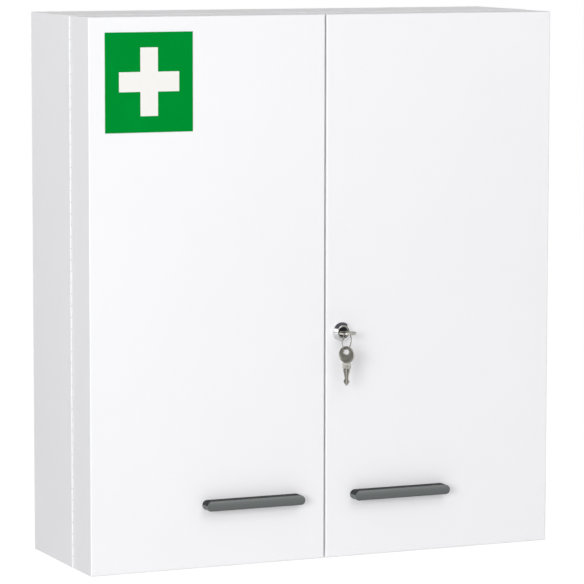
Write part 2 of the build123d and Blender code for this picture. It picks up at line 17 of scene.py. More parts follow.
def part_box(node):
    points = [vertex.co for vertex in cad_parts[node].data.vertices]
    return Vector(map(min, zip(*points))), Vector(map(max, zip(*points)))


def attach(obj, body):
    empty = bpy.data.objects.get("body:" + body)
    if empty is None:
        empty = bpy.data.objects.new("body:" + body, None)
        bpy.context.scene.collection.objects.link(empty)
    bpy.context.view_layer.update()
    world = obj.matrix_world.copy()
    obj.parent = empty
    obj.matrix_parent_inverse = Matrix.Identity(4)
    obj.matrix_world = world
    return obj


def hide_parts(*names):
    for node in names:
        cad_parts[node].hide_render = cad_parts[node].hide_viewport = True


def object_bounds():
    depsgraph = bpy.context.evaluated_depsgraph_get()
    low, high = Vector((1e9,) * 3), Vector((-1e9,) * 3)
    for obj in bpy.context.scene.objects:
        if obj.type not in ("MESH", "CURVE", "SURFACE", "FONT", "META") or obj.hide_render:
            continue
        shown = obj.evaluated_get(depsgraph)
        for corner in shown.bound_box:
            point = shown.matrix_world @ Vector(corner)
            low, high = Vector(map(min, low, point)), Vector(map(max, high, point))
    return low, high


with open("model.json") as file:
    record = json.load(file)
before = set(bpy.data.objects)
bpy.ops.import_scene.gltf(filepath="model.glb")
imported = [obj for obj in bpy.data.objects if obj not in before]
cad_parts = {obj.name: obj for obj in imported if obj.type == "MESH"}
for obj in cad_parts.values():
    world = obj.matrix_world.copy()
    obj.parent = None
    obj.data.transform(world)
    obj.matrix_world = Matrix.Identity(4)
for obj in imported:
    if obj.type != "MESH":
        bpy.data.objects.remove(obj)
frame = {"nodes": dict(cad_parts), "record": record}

cad_low, cad_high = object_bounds()
nodes = frame["nodes"]
print("frame:", len(nodes), "nodes, box", [round(v, 4) for v in cad_high - cad_low])

# %% [markdown]
# ## Camera
# The photograph was taken with a long lens, from the left and a little above. A camera was solved
# from the cabinet's corners, so its place is given in metres and its turns in degrees. A long lens
# keeps the edges almost parallel, which is why the camera stands nearly four metres away.

# %% Place the camera
photo_pixels = 584
focal_pixels = 3454.3
camera_place = Vector((-1.5469, -3.5440, 0.7196))
look_right, look_down, camera_roll = math.radians(23.747), math.radians(6.43), math.radians(0.079)

camera_data = bpy.data.cameras.new("camera")
camera_data.sensor_width = 36.0
camera_data.lens = focal_pixels / photo_pixels * camera_data.sensor_width
camera_data.clip_start, camera_data.clip_end = 0.05, 60.0
camera = bpy.data.objects.new("camera", camera_data)
camera.location = camera_place
camera.rotation_mode = "QUATERNION"
facing = Matrix.Rotation(-look_right, 3, "Z") @ Matrix.Rotation(math.pi / 2 - look_down, 3, "X")
camera.rotation_quaternion = (facing @ Matrix.Rotation(camera_roll, 3, "Z")).to_quaternion()
bpy.context.scene.collection.objects.link(camera)
bpy.context.scene.camera = camera
bpy.context.scene.view_settings.view_transform = "Standard"
print("camera: lens", round(camera_data.lens, 1), "mm")

# %% [markdown]
# ## Light
# White steel on a white background only reads if its three visible faces have different tones. In
# the photograph the doors are almost white, and the side and the top are a light grey. An even
# world light gives the base tone. A broad lamp above the camera adds to the doors and the top, and
# a smaller one, low on the left, gives the soft shadows that fall to the right of handles and keys.
#
# Chrome shows whatever surrounds it, and in an all-white room it would vanish. A studio's ceiling
# is dark, so reflections that go steeply upwards meet a dark world, and everything else is white.

# %% Make the world
world = bpy.data.worlds.new("studio")
bpy.context.scene.world = world
world.use_nodes = True
world_tree = world.node_tree
world_tree.nodes.clear()
even_strength = 0.47
ceiling_starts, ceiling_ends = 0.3, 0.55  # how far up a reflection goes: 0 is level, 1 is upright
white, ceiling_dark = (1.0, 1.0, 1.0, 1.0), (0.1, 0.1, 0.11, 1.0)


def world_node(kind, operation=None):
    """A new node of the world, with its operation where it has one."""
    node = world_tree.nodes.new(kind)
    if operation:
        node.operation = operation
    return node


# %% What lights the cabinet, and what the camera and reflections see
even_light = world_node("ShaderNodeBackground")
even_light.inputs["Color"].default_value = white
even_light.inputs["Strength"].default_value = even_strength

direction = world_node("ShaderNodeTexCoord")
direction_parts = world_node("ShaderNodeSeparateXYZ")
ceiling = world_node("ShaderNodeValToRGB")
level_end, upright_end = ceiling.color_ramp.elements
level_end.position, level_end.color = ceiling_starts, white
upright_end.position, upright_end.color = ceiling_ends, ceiling_dark
world_tree.links.new(direction.outputs["Generated"], direction_parts.inputs["Vector"])
world_tree.links.new(direction_parts.outputs["Z"], ceiling.inputs["Fac"])

path = world_node("ShaderNodeLightPath")
seen_colour = world_node("ShaderNodeMix")  # with colours, its inputs 6 and 7 are A and B
seen_colour.data_type = "RGBA"
seen_colour.inputs[7].default_value = white
white_backdrop = world_node("ShaderNodeBackground")
white_backdrop.inputs["Strength"].default_value = 1.0
world_tree.links.new(path.outputs["Is Camera Ray"], seen_colour.inputs["Factor"])
world_tree.links.new(ceiling.outputs["Color"], seen_colour.inputs[6])
world_tree.links.new(seen_colour.outputs[2], white_backdrop.inputs["Color"])

# %% Choose between the two
seen = world_node("ShaderNodeMath", "MAXIMUM")
seen_through = world_node("ShaderNodeMath", "MAXIMUM")
chosen = world_node("ShaderNodeMixShader")
world_out = world_node("ShaderNodeOutputWorld")
world_tree.links.new(path.outputs["Is Camera Ray"], seen.inputs[0])
world_tree.links.new(path.outputs["Is Glossy Ray"], seen.inputs[1])
world_tree.links.new(seen.outputs[0], seen_through.inputs[0])
world_tree.links.new(path.outputs["Is Transmission Ray"], seen_through.inputs[1])
world_tree.links.new(seen_through.outputs[0], chosen.inputs["Fac"])
world_tree.links.new(even_light.outputs[0], chosen.inputs[1])
world_tree.links.new(white_backdrop.outputs[0], chosen.inputs[2])
world_tree.links.new(chosen.outputs[0], world_out.inputs["Surface"])
print("world: even light", even_strength)


# %% Hang the lamps
def area_lamp(name, left_degrees, up_degrees, distance, size, tone):
    """A square lamp aimed at the cabinet's middle. tone is the brightness that it gives a white
    surface facing it; a lamp of P watts gives P / (pi distance)^2."""
    lamp = bpy.data.lights.new(name, "AREA")
    lamp.shape, lamp.size = "SQUARE", size
    lamp.energy = tone * (math.pi * distance) ** 2
    left, up = math.radians(left_degrees), math.radians(up_degrees)
    away = Vector((-math.sin(left) * math.cos(up), -math.cos(left) * math.cos(up), math.sin(up)))
    holder = bpy.data.objects.new(name, lamp)
    holder.location = (cad_low + cad_high) / 2 + away * distance
    holder.rotation_euler = away.to_track_quat("Z", "Y").to_euler()
    bpy.context.scene.collection.objects.link(holder)
    print("lamp:", name, round(lamp.energy, 1), "W")


area_lamp("broad_lamp", left_degrees=2, up_degrees=36, distance=4.6, size=2.6, tone=0.215)
area_lamp("side_lamp", left_degrees=44, up_degrees=8, distance=4.4, size=1.6, tone=0.415)

# %% [markdown]
# ## Floor
# The cabinet hangs on a wall, so the floor is well below it. Its colour for the camera is raised a
# little, so that it reads as white where the light reaches it and still shows a shadow.

# %% Make the floor
floor_drop, floor_half = 0.6, 15.0
lift_for_camera = 0.62
floor_corners = np.array([(-1, -1, 0), (1, -1, 0), (1, 1, 0), (-1, 1, 0)]) * floor_half
floor_corners[:, 2] = -floor_drop
floor_mesh = bpy.data.meshes.new("floor")
floor_mesh.from_pydata(floor_corners.tolist(), [], [(0, 1, 2, 3)])
floor = bpy.data.objects.new("floor", floor_mesh)
bpy.context.scene.collection.objects.link(floor)
floor_material = bpy.data.materials.new("pale_floor")
floor_material.use_nodes = True
floor_tree = floor_material.node_tree
floor_paint = floor_tree.nodes["Principled BSDF"]
floor_paint.inputs["Base Color"].default_value = (0.8, 0.8, 0.8, 1.0)
floor_paint.inputs["Roughness"].default_value = 0.9
floor_paint.inputs["Specular IOR Level"].default_value = 0.0
floor_paint.inputs["Emission Color"].default_value = white
floor_path = floor_tree.nodes.new("ShaderNodeLightPath")
floor_lift = floor_tree.nodes.new("ShaderNodeMath")
floor_lift.operation = "MULTIPLY"
floor_lift.inputs[1].default_value = lift_for_camera
floor_tree.links.new(floor_path.outputs["Is Camera Ray"], floor_lift.inputs[0])
floor_tree.links.new(floor_lift.outputs[0], floor_paint.inputs["Emission Strength"])
floor_mesh.materials.append(floor_material)
print("floor at", -floor_drop)

# %% [markdown]
# ## Finishes
# Each finish starts as one Principled shader with its plain values set on the sockets. Then fine
# noise in Object coordinates, which are metres here, adds what makes it real: the orange peel of
# powder coat, the grain of moulded plastic, the drawn lines and uneven shine of metal.


# %% A finish and its grain
def new_finish(name, color, roughness, metallic=0.0, specular=0.5):
    """A material with one Principled shader and these plain values."""
    finish = bpy.data.materials.new(name)
    finish.use_nodes = True
    shader = finish.node_tree.nodes["Principled BSDF"]
    shader.inputs["Base Color"].default_value = (*color, 1.0)
    shader.inputs["Roughness"].default_value = roughness
    shader.inputs["Metallic"].default_value = metallic
    shader.inputs["Specular IOR Level"].default_value = specular
    return finish


def noise_for(finish, per_metre, stretch=(1.0, 1.0, 1.0), detail=2.0):
    """A noise node in Object coordinates, with about per_metre bumps in a metre."""
    tree = finish.node_tree
    place = tree.nodes.new("ShaderNodeTexCoord")
    turn = tree.nodes.new("ShaderNodeMapping")
    turn.inputs["Scale"].default_value = stretch
    noise = tree.nodes.new("ShaderNodeTexNoise")
    noise.inputs["Scale"].default_value = per_metre
    noise.inputs["Detail"].default_value = detail
    tree.links.new(place.outputs["Object"], turn.inputs["Vector"])
    tree.links.new(turn.outputs["Vector"], noise.inputs["Vector"])
    return noise


def add_relief(finish, per_metre, height, strength=1.0, **noise_options):
    """Bumps of this height in metres, the same everywhere."""
    tree = finish.node_tree
    noise = noise_for(finish, per_metre, **noise_options)
    bump = tree.nodes.new("ShaderNodeBump")
    bump.inputs["Strength"].default_value = strength
    bump.inputs["Distance"].default_value = height
    tree.links.new(noise.outputs["Fac"], bump.inputs["Height"])
    tree.links.new(bump.outputs["Normal"], tree.nodes["Principled BSDF"].inputs["Normal"])


def vary(finish, socket, low, high, per_metre, **noise_options):
    """Lets a socket wander between two values, or two colours, with noise."""
    tree = finish.node_tree
    noise = noise_for(finish, per_metre, **noise_options)
    ramp = tree.nodes.new("ShaderNodeValToRGB")
    ramp.color_ramp.elements[0].position, ramp.color_ramp.elements[1].position = 0.3, 0.7
    for element, value in zip(ramp.color_ramp.elements, (low, high)):
        element.color = (*value, 1.0) if isinstance(value, tuple) else (value, value, value, 1.0)
    tree.links.new(noise.outputs["Fac"], ramp.inputs["Fac"])
    tree.links.new(ramp.outputs["Color"], tree.nodes["Principled BSDF"].inputs[socket])


# %% [markdown]
# Powder coat is sprayed on dry and melted, so it flows into a soft orange peel of a millimetre or
# two. Its colour is even and its shine wanders a little.

# %% Painted steel
white_steel = new_finish("white_steel", (0.93, 0.928, 0.945), 0.42)
vary(white_steel, "Base Color", (0.922, 0.92, 0.938), (0.938, 0.936, 0.952), 4.0)
vary(white_steel, "Roughness", 0.36, 0.46, 35.0)
add_relief(white_steel, 620.0, 0.00002, strength=0.35)

# The hinges are painted with the cabinet, but the coat is thinner and duller on their rolled tabs.
hinge_steel = new_finish("hinge_steel", (0.87, 0.87, 0.88), 0.38)
vary(hinge_steel, "Roughness", 0.3, 0.5, 90.0)
add_relief(hinge_steel, 900.0, 0.00002, strength=0.5)
print("painted steel:", white_steel.name, hinge_steel.name)

# %% [markdown]
# Metals get their look from reflections. Zinc plate is bright with a slightly cloudy shine, and
# nickel on a used key is dull and warm. The plug is made nearly black: a painted dark reflection on
# its face.

# %% Metals
zinc = new_finish("zinc", (0.66, 0.67, 0.69), 0.3, metallic=1.0)
vary(zinc, "Roughness", 0.2, 0.42, 160.0, detail=4.0)
add_relief(zinc, 1500.0, 0.000015, strength=0.3)

hinge_wire = new_finish("hinge_wire", (0.6, 0.6, 0.62), 0.28, metallic=1.0)
add_relief(hinge_wire, 4000.0, 0.00001, strength=0.4, stretch=(1.0, 1.0, 0.03))

chrome = new_finish("chrome", (0.86, 0.86, 0.87), 0.07, metallic=1.0)
vary(chrome, "Roughness", 0.05, 0.12, 250.0)

# Nearly black, as a painted stand-in for the dark reflection that the plug's face shows.
plug_dark = new_finish("plug_dark", (0.035, 0.035, 0.038), 0.28, metallic=1.0)
vary(plug_dark, "Roughness", 0.2, 0.42, 900.0)
add_relief(plug_dark, 2600.0, 0.00002, strength=0.4)

key_nickel = new_finish("key_nickel", (0.2, 0.19, 0.165), 0.36, metallic=1.0)
vary(key_nickel, "Base Color", (0.13, 0.125, 0.108), (0.27, 0.26, 0.23), 260.0, detail=4.0)
vary(key_nickel, "Roughness", 0.26, 0.48, 420.0, detail=4.0)
add_relief(key_nickel, 1800.0, 0.00002, strength=0.35)

key_edge = new_finish("key_edge", (0.62, 0.6, 0.55), 0.24, metallic=1.0)
vary(key_edge, "Roughness", 0.16, 0.34, 500.0)
add_relief(key_edge, 2400.0, 0.00001, strength=0.3)

ring_steel = new_finish("ring_steel", (0.36, 0.35, 0.32), 0.24, metallic=1.0)
vary(ring_steel, "Base Color", (0.27, 0.26, 0.235), (0.46, 0.45, 0.42), 500.0)
vary(ring_steel, "Roughness", 0.16, 0.34, 700.0)
print("metals:", zinc.name, hinge_wire.name, chrome.name, plug_dark.name, key_nickel.name,
      key_edge.name, ring_steel.name)

# %% [markdown]
# The handles are moulded in a dark slate grey with a fine spark-eroded grain. Their colour is
# painted paler towards the upper edge and darker along the foot, as painted light from above and
# painted shade below. A ramp over the handle's height, in metres, gives that. Their finger grooves
# are rough and matt, and their near-black colour is painted shade inside the groove. The sign is a
# printed plate, and the catches and bumpers are plain black and grey mouldings.


# %% A colour that changes with height
def painted_light_by_height(finish, low_z, high_z, stops):
    """Sets the base colour by the Object Z. Each stop is a share of the way up and a colour."""
    tree = finish.node_tree
    place = tree.nodes.new("ShaderNodeTexCoord")
    parts = tree.nodes.new("ShaderNodeSeparateXYZ")
    share = tree.nodes.new("ShaderNodeMapRange")
    share.inputs["From Min"].default_value = low_z
    share.inputs["From Max"].default_value = high_z
    ramp = tree.nodes.new("ShaderNodeValToRGB")
    elements = ramp.color_ramp.elements
    while len(elements) < len(stops):
        elements.new(0.5)
    for element, (position, color) in zip(elements, stops):
        element.position, element.color = position, (*color, 1.0)
    tree.links.new(place.outputs["Object"], parts.inputs["Vector"])
    tree.links.new(parts.outputs["Z"], share.inputs["Value"])
    tree.links.new(share.outputs["Result"], ramp.inputs["Fac"])
    tree.links.new(ramp.outputs["Color"], tree.nodes["Principled BSDF"].inputs["Base Color"])


# %% Handle plastic
handle_low, handle_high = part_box("left_handle")
grey_plastic = new_finish("grey_plastic", (0.118, 0.13, 0.127), 0.5)
# This ramp is painted light and shade: paler towards the top edge, where light from above falls,
# and darker at the foot.
painted_light_by_height(
    grey_plastic, handle_low.z, handle_high.z,
    [(0.0, (0.086, 0.095, 0.093)), (0.16, (0.108, 0.119, 0.116)), (0.5, (0.118, 0.13, 0.127)),
     (0.76, (0.142, 0.155, 0.152)), (0.92, (0.178, 0.193, 0.189))],
)
vary(grey_plastic, "Roughness", 0.42, 0.58, 300.0)
add_relief(grey_plastic, 2600.0, 0.00003, strength=0.5, detail=3.0)

# The groove's near-black colour is painted shade, for the shade inside the deep finger groove.
groove_painted_shade = new_finish("groove_painted_shade", (0.035, 0.039, 0.038), 0.75, specular=0.2)
add_relief(groove_painted_shade, 2600.0, 0.00004, strength=0.6, detail=3.0)
print("handle plastic from z", round(handle_low.z, 4), "to", round(handle_high.z, 4))

# %% Print and mouldings
sign_green = new_finish("sign_green", (0.0, 0.266, 0.031), 0.5, specular=0.0)
vary(sign_green, "Base Color", (0.0, 0.26, 0.029), (0.0, 0.274, 0.034), 25.0)
add_relief(sign_green, 1200.0, 0.00001, strength=0.25)

sign_white = new_finish("sign_white", (0.9, 0.886, 0.86), 0.45, specular=0.3)
vary(sign_white, "Roughness", 0.4, 0.52, 120.0)
add_relief(sign_white, 1200.0, 0.00001, strength=0.2)

magnet_black = new_finish("magnet_black", (0.02, 0.02, 0.021), 0.55)
add_relief(magnet_black, 1800.0, 0.00003, strength=0.5)

rubber_grey = new_finish("rubber_grey", (0.1, 0.1, 0.1), 0.75, specular=0.3)
add_relief(rubber_grey, 1400.0, 0.00004, strength=0.6)
print("sign and mouldings:", sign_green.name, sign_white.name, magnet_black.name, rubber_grey.name)

# %% [markdown]
# Every CAD node names the finish that it takes, so one loop over the record dresses all of them.

# %% Give every CAD node its finish
finishes = {
    "white_steel": white_steel,
    "hinge_steel": hinge_steel,
    "hinge_wire": hinge_wire,
    "zinc": zinc,
    "grey_plastic": grey_plastic,
    "sign_green": sign_green,
    "chrome": chrome,
    "plug_dark": plug_dark,
    "key_nickel": key_nickel,
    "ring_steel": ring_steel,
    "magnet_black": magnet_black,
    "rubber_grey": rubber_grey,
}
for subpart in frame["record"]["subparts"]:
    mesh = nodes[subpart["node"]].data
    mesh.materials.clear()
    mesh.materials.append(finishes[subpart["material_slot"]])
print("finishes:", len(finishes), "on", len(nodes), "nodes")

# %% [markdown]
# ## The sign's cross
# The sign is the plain first-aid cross: a white cross on a green plate. It is cut from thin film,
# so here it is one flat shape with twelve corners, given a film's thickness. Geometry keeps its
# edges crisp from any distance, where a painted pattern would blur.

# %% Cut the cross
cross_width, cross_height = 0.0687, 0.0730
cross_upright, cross_bar = 0.0200, 0.0212
cross_rise = 0.0006  # the cross sits this much above the plate's middle
film = 0.00002


def cross_outline(width, height, upright, bar):
    """The twelve corners of a cross round the origin, anticlockwise: half the upright and half the
    bar give the inner corners, half the width and height the outer ones."""
    a, b, c, d = upright / 2, bar / 2, width / 2, height / 2
    return np.array(
        [(a, d), (-a, d), (-a, b), (-c, b), (-c, -b), (-a, -b),
         (-a, -d), (a, -d), (a, -b), (c, -b), (c, b), (a, b)]
    )


plate_low, plate_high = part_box("sign_plate")
corners = cross_outline(cross_width, cross_height, cross_upright, cross_bar)
corners += ((plate_low.x + plate_high.x) / 2, (plate_low.z + plate_high.z) / 2 + cross_rise)
cross_front = plate_low.y - film
cross_points = [(x, y, z) for y in (plate_low.y, cross_front) for x, z in corners]
count = len(corners)
cross_faces = [tuple(reversed(range(count))), tuple(range(count, 2 * count))]
cross_faces += [(i, (i + 1) % count, (i + 1) % count + count, i + count) for i in range(count)]
cross_mesh = bpy.data.meshes.new("sign_cross")
cross_mesh.from_pydata(cross_points, [], cross_faces)
cross_mesh.materials.append(sign_white)
cross = bpy.data.objects.new("sign_cross", cross_mesh)
bpy.context.scene.collection.objects.link(cross)
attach(cross, "left_door")
print("cross:", len(cross_faces), "faces")

# %% [markdown]
# ## From grids to pieces
# The lock, the keys, the ring and the hinges are round or rolled, and the CAD model draws them with
# flats. They are made again here as grids of points: every row is a section, every column runs
# along the shape, and numpy works all of them out at once. Small helpers do the joining, the
# rounding of corners and the placing in the scene.

# %% Join a grid into faces
mm = 0.001
same_point = 0.002 * mm  # corners nearer than this are one corner
fold = 32.0  # degrees between two faces that make an edge rather than a curve


def grid_faces(rows, columns, wrap_rows=False, wrap_columns=True, copies=1):
    """Four-sided faces of a grid. Corner (row, column) of a copy has the number
    row * columns + column, after the corners of the copies before it. A wrapped direction's last
    line joins its first."""
    number = np.arange(rows * columns).reshape(rows, columns)
    if wrap_rows:
        number = np.vstack([number, number[:1]])
    if wrap_columns:
        number = np.hstack([number, number[:, :1]])
    square = np.stack(
        [number[:-1, :-1], number[:-1, 1:], number[1:, 1:], number[1:, :-1]], axis=-1
    ).reshape(-1, 4)
    first = np.arange(copies)[:, None, None] * rows * columns
    return (square[None] + first).reshape(-1, 4).tolist()


def end_faces(rows, columns, copies=1):
    """The two many-sided faces that close the first and the last row of each copy."""
    first = np.arange(copies)[:, None] * rows * columns
    bottoms = first + np.arange(columns)[::-1]
    tops = first + (rows - 1) * columns + np.arange(columns)
    return bottoms.tolist() + tops.tolist()


# %% Round the corners of an outline
def rounded(corners, radii, steps=5):
    """A closed outline with its corners rounded. Each corner becomes a short curve that starts and
    ends one radius before and after it: (1-t)^2 start + 2t(1-t) corner + t^2 end."""
    corners = np.asarray(corners, dtype=float)
    radii = np.broadcast_to(np.asarray(radii, dtype=float), len(corners))[:, None]
    before = np.roll(corners, 1, axis=0) - corners
    after = np.roll(corners, -1, axis=0) - corners
    start = corners + before * radii / np.linalg.norm(before, axis=1, keepdims=True)
    end = corners + after * radii / np.linalg.norm(after, axis=1, keepdims=True)
    t = np.linspace(0.0, 1.0, steps)[None, :, None]
    curve = (1 - t) ** 2 * start[:, None] + 2 * t * (1 - t) * corners[:, None] + t**2 * end[:, None]
    return curve.reshape(-1, 2)


# %% Put a piece in the scene
def settle(mesh, fold_degrees):
    """Joins corners that meet, turns every face outwards, and shades smoothly except over folds."""
    form = bmesh.new()
    form.from_mesh(mesh)
    bmesh.ops.remove_doubles(form, verts=form.verts, dist=same_point)
    bmesh.ops.recalc_face_normals(form, faces=form.faces)
    form.to_mesh(mesh)
    form.free()
    mesh.shade_smooth()
    mesh.set_sharp_from_angle(angle=math.radians(fold_degrees))


def add_piece(
    name, body, slot, points, faces, replaced=(), fold_degrees=fold, edge_faces=None
):
    """A new piece in its slot's finish. edge_faces marks the faces that are worn bright instead."""
    mesh = bpy.data.meshes.new(name)
    mesh.from_pydata(np.asarray(points).reshape(-1, 3).tolist(), [], faces)
    mesh.materials.append(finishes[slot])
    if edge_faces is not None:
        mesh.materials.append(key_edge)
        mesh.polygons.foreach_set("material_index", np.asarray(edge_faces, dtype=np.int32))
    settle(mesh, fold_degrees)
    piece = bpy.data.objects.new(name, mesh)
    bpy.context.scene.collection.objects.link(piece)
    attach(piece, body)
    if replaced:
        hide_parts(*replaced)
    print(name + ":", len(mesh.polygons), "faces")
    return piece


def soften(piece, width, segments=2):
    """A Bevel modifier on the piece's folds, as filing, moulding or plating leaves them."""
    bevel = piece.modifiers.new("soft edges", "BEVEL")
    bevel.width, bevel.segments = width, segments
    bevel.limit_method, bevel.angle_limit = "ANGLE", math.radians(fold)


# %% [markdown]
# ## The lock
# A cam lock is die-cast and turned. In front of the door is a sloping bezel, and behind it is a
# threaded barrel, with two flats that stop it from turning. Such a shape is a profile carried round
# an axis. The bezel has a short upright foot, then slopes in to a narrow bead round the plug. At
# that slope its upper part shows the dark ceiling, and the foot and the bead show the white room.
# The thread is a ripple in the radius that moves on by one pitch in each turn, and the flats are
# made by holding back every point that stands past them.

# %% Points round the lock's axis
bezel_low, bezel_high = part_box("lock_housing")
lock_axis = (bezel_low + bezel_high) / 2
bezel_height = 6.0 * mm
door_front = bezel_low.y + bezel_height
barrel_radius, barrel_length, plug_bore, flat_half = 9.3 * mm, 22.0 * mm, 7.3 * mm, 8.2 * mm
thread_pitch, thread_depth = 1.0 * mm, 0.28 * mm
thread_start, thread_end, thread_step = 0.6, 21.4, 0.2  # millimetres behind the door's front


def turned(profile, columns):
    """The angle, y and radius of every point of a profile of (y, radius) that is turned about the
    lock's axis."""
    angle = np.linspace(0.0, 2.0 * math.pi, columns, endpoint=False)[None, :]
    y = profile[:, :1] + 0.0 * angle
    radius = profile[:, 1:] + 0.0 * angle
    return angle, y, radius


def on_axis(angle, y, radius):
    """Those points in the scene: x = radius cos a, z = radius sin a, and y is counted from the
    door's front."""
    x = lock_axis.x + radius * np.cos(angle)
    z = lock_axis.z + radius * np.sin(angle)
    return np.stack([x, door_front + y, z], axis=-1)


# %% Draw the lock's profile and turn it
bezel_corners = np.array(
    [(-5.1, 7.3), (-5.1, 6.8), (-5.95, 6.85), (-5.95, 7.3), (-3.3, 10.3), (-2.4, 11.0),
     (0.0, 11.1), (0.0, 9.3)]
)
bezel_radii = np.array([0.0, 0.1, 0.2, 0.3, 0.4, 0.4, 0.0, 0.0])
bezel_profile = rounded(bezel_corners * mm, bezel_radii * mm, steps=7)
barrel_y = np.arange(thread_start, thread_end, thread_step) * mm
barrel_profile = np.column_stack([barrel_y, np.full_like(barrel_y, barrel_radius)])
barrel_end = [(barrel_length, barrel_radius - 0.5 * mm), (barrel_length, plug_bore)]
lock_profile = np.vstack([bezel_profile, barrel_profile, barrel_end])
angle, y, radius = turned(lock_profile, columns=96)
threaded = (y > 0.0) & (y < barrel_length) & (radius > barrel_radius - 0.1 * mm)
ripple = 0.5 + 0.5 * np.cos(2.0 * math.pi * y / thread_pitch - angle)
radius = np.where(threaded, radius - thread_depth * ripple, radius)
lock_points = on_axis(angle, y, radius)
rise = lock_points[..., 2] - lock_axis.z
flattened = lock_axis.z + np.clip(rise, -flat_half, flat_half)
lock_points[..., 2] = np.where(y > 0.0, flattened, lock_points[..., 2])
add_piece(
    "lock_bezel", "right_door", "chrome", lock_points,
    grid_faces(*lock_points.shape[:2], wrap_rows=True), replaced=["lock_housing"],
)

# %% [markdown]
# The plug is the dark part that turns with the key. A low rim runs round its face, and the key's
# collar has polished it bright.

# %% Put a rim on the plug
plug_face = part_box("lock_plug")[0].y - door_front
rim_corners = np.array([(0.05, 6.5), (-0.12, 6.4), (-0.12, 5.75), (0.05, 5.55)]) * mm
rim_corners[:, 0] += plug_face
rim_profile = rounded(rim_corners, 0.04 * mm, steps=3)
rim_points = on_axis(*turned(rim_profile, columns=64))
add_piece(
    "plug_rim", "lock_plug", "plug_dark", rim_points,
    grid_faces(*rim_points.shape[:2], wrap_rows=True),
    edge_faces=np.ones(rim_points.shape[0] * rim_points.shape[1]),
)

# %% [markdown]
# ## The keys
# Both keys are the same: a round bow with an off-centre hole, a thicker collar that stops the key
# at the plug, and a flat blade with a groove milled in each face. Stamping leaves the bow with a
# raised border. Pockets and the ring polish the bow's edges, and the lock polishes the collar, the
# blade's edges and its grooves, so those are brighter than the flats.
#
# The bow is a closed section carried round a circle. The hole isn't in the middle, so the
# section's inner points turn about the hole and its outer points about the bow's own centre, and
# those between are shared out evenly.

# %% The bow on the key's own axes
bow_radius, bow_offset, bow_hole = 9.5 * mm, 3.5 * mm, 3.2 * mm
half_thick = 1.0 * mm
collar_start, collar_length, collar_half = 12.5 * mm, 6.2 * mm, (4.8 * mm, 1.3 * mm)
blade_start = collar_start + collar_length
bow_edge = bow_radius - bow_offset  # from the hole's centre to the bow's outer edge


def bow_grid(columns=72):
    """Across, along and through for the bow. A section point at distance d from the axis has the
    share f = (d - hole) / (bow - hole), and turns about the point f * offset along the key."""
    out, hole, top = bow_radius, bow_hole, half_thick
    border, slope, field = 0.9 * mm, 1.2 * mm, half_thick - 0.16 * mm
    section = rounded(
        [(out, -top), (out, top), (out - border, top), (out - slope, field), (hole + slope, field),
         (hole + border, top), (hole, top), (hole, -top), (hole + border, -top),
         (hole + slope, -field), (out - slope, -field), (out - border, -top)],
        np.array([0.35, 0.35, 0.08, 0.08, 0.08, 0.08, 0.3, 0.3, 0.08, 0.08, 0.08, 0.08]) * mm,
        steps=4,
    )
    distance, through = section[:, :1], section[:, 1:]
    share = (distance - hole) / (out - hole)
    turn = np.linspace(0.0, 2.0 * math.pi, columns, endpoint=False)[None, :]
    across = distance * np.cos(turn)
    along = share * bow_offset + distance * np.sin(turn)
    grid = np.stack([across, along, through + 0.0 * turn], axis=-1)
    middle = (distance[:, 0] + np.roll(distance[:, 0], -1)) / 2
    on_edge = (middle > out - 0.3 * mm) | (middle < hole + 0.25 * mm)
    return grid, np.repeat(on_edge, columns)


# %% The collar and the blade
def collar_grid():
    """A rounded rectangle carried along the key, drawn in at both ends by a quarter circle:
    inset = e - sqrt(e^2 - (e - d)^2) at the distance d from the end."""
    wide, thick = collar_half
    outline = rounded(
        [(-wide, -thick), (wide, -thick), (wide, thick), (-wide, thick)], 0.35 * mm, steps=4
    )
    edge = 0.35 * mm
    near = edge * (1.0 - np.cos(np.linspace(0.0, math.pi / 2, 5)))
    from_end = np.concatenate([near, [collar_length / 2], near[::-1]])
    along = np.concatenate([near, [collar_length / 2], collar_length - near[::-1]])
    inset = edge - np.sqrt(edge**2 - (edge - np.minimum(from_end, edge)) ** 2)
    across = outline[None, :, 0] - np.sign(outline[None, :, 0]) * inset[:, None]
    through = outline[None, :, 1] - np.sign(outline[None, :, 1]) * inset[:, None]
    along = collar_start + along[:, None] + 0.0 * across
    return np.stack([across, along, through], axis=-1)


def blade_grid():
    """A section with twelve corners and a groove in each face, carried along the blade. Its half
    width is read from a table: shoulder, neck, spear and tip."""
    place = np.array([-1.0, 3.2, 5.6, 10.0, 11.2, 13.4, 15.0, 18.6]) * mm
    half = np.array([3.6, 3.6, 2.8, 1.9, 1.9, 3.2, 3.2, 0.7]) * mm
    run = np.union1d(np.linspace(place[0], place[-1], 54), place)
    wide = np.interp(run, place, half)
    thick = np.interp(run, [place[-1] - 2.2 * mm, place[-1]], [half_thick, 0.6 * mm])
    deep = np.interp(run, [place[-1] - 2.4 * mm, place[-1] - 2.0 * mm], [0.42 * mm, 0.0])
    groove = np.minimum(0.9 * mm, 0.5 * wide)
    across = np.stack([wide, wide, groove, groove, -groove, -groove,
                       -wide, -wide, -groove, -groove, groove, groove], axis=1)
    floor = thick - deep
    through = np.stack([-thick, thick, thick, floor, floor, thick,
                        thick, -thick, -thick, -floor, -floor, -thick], axis=1)
    along = blade_start + run[:, None] + 0.0 * across
    return np.stack([across, along, through], axis=-1)


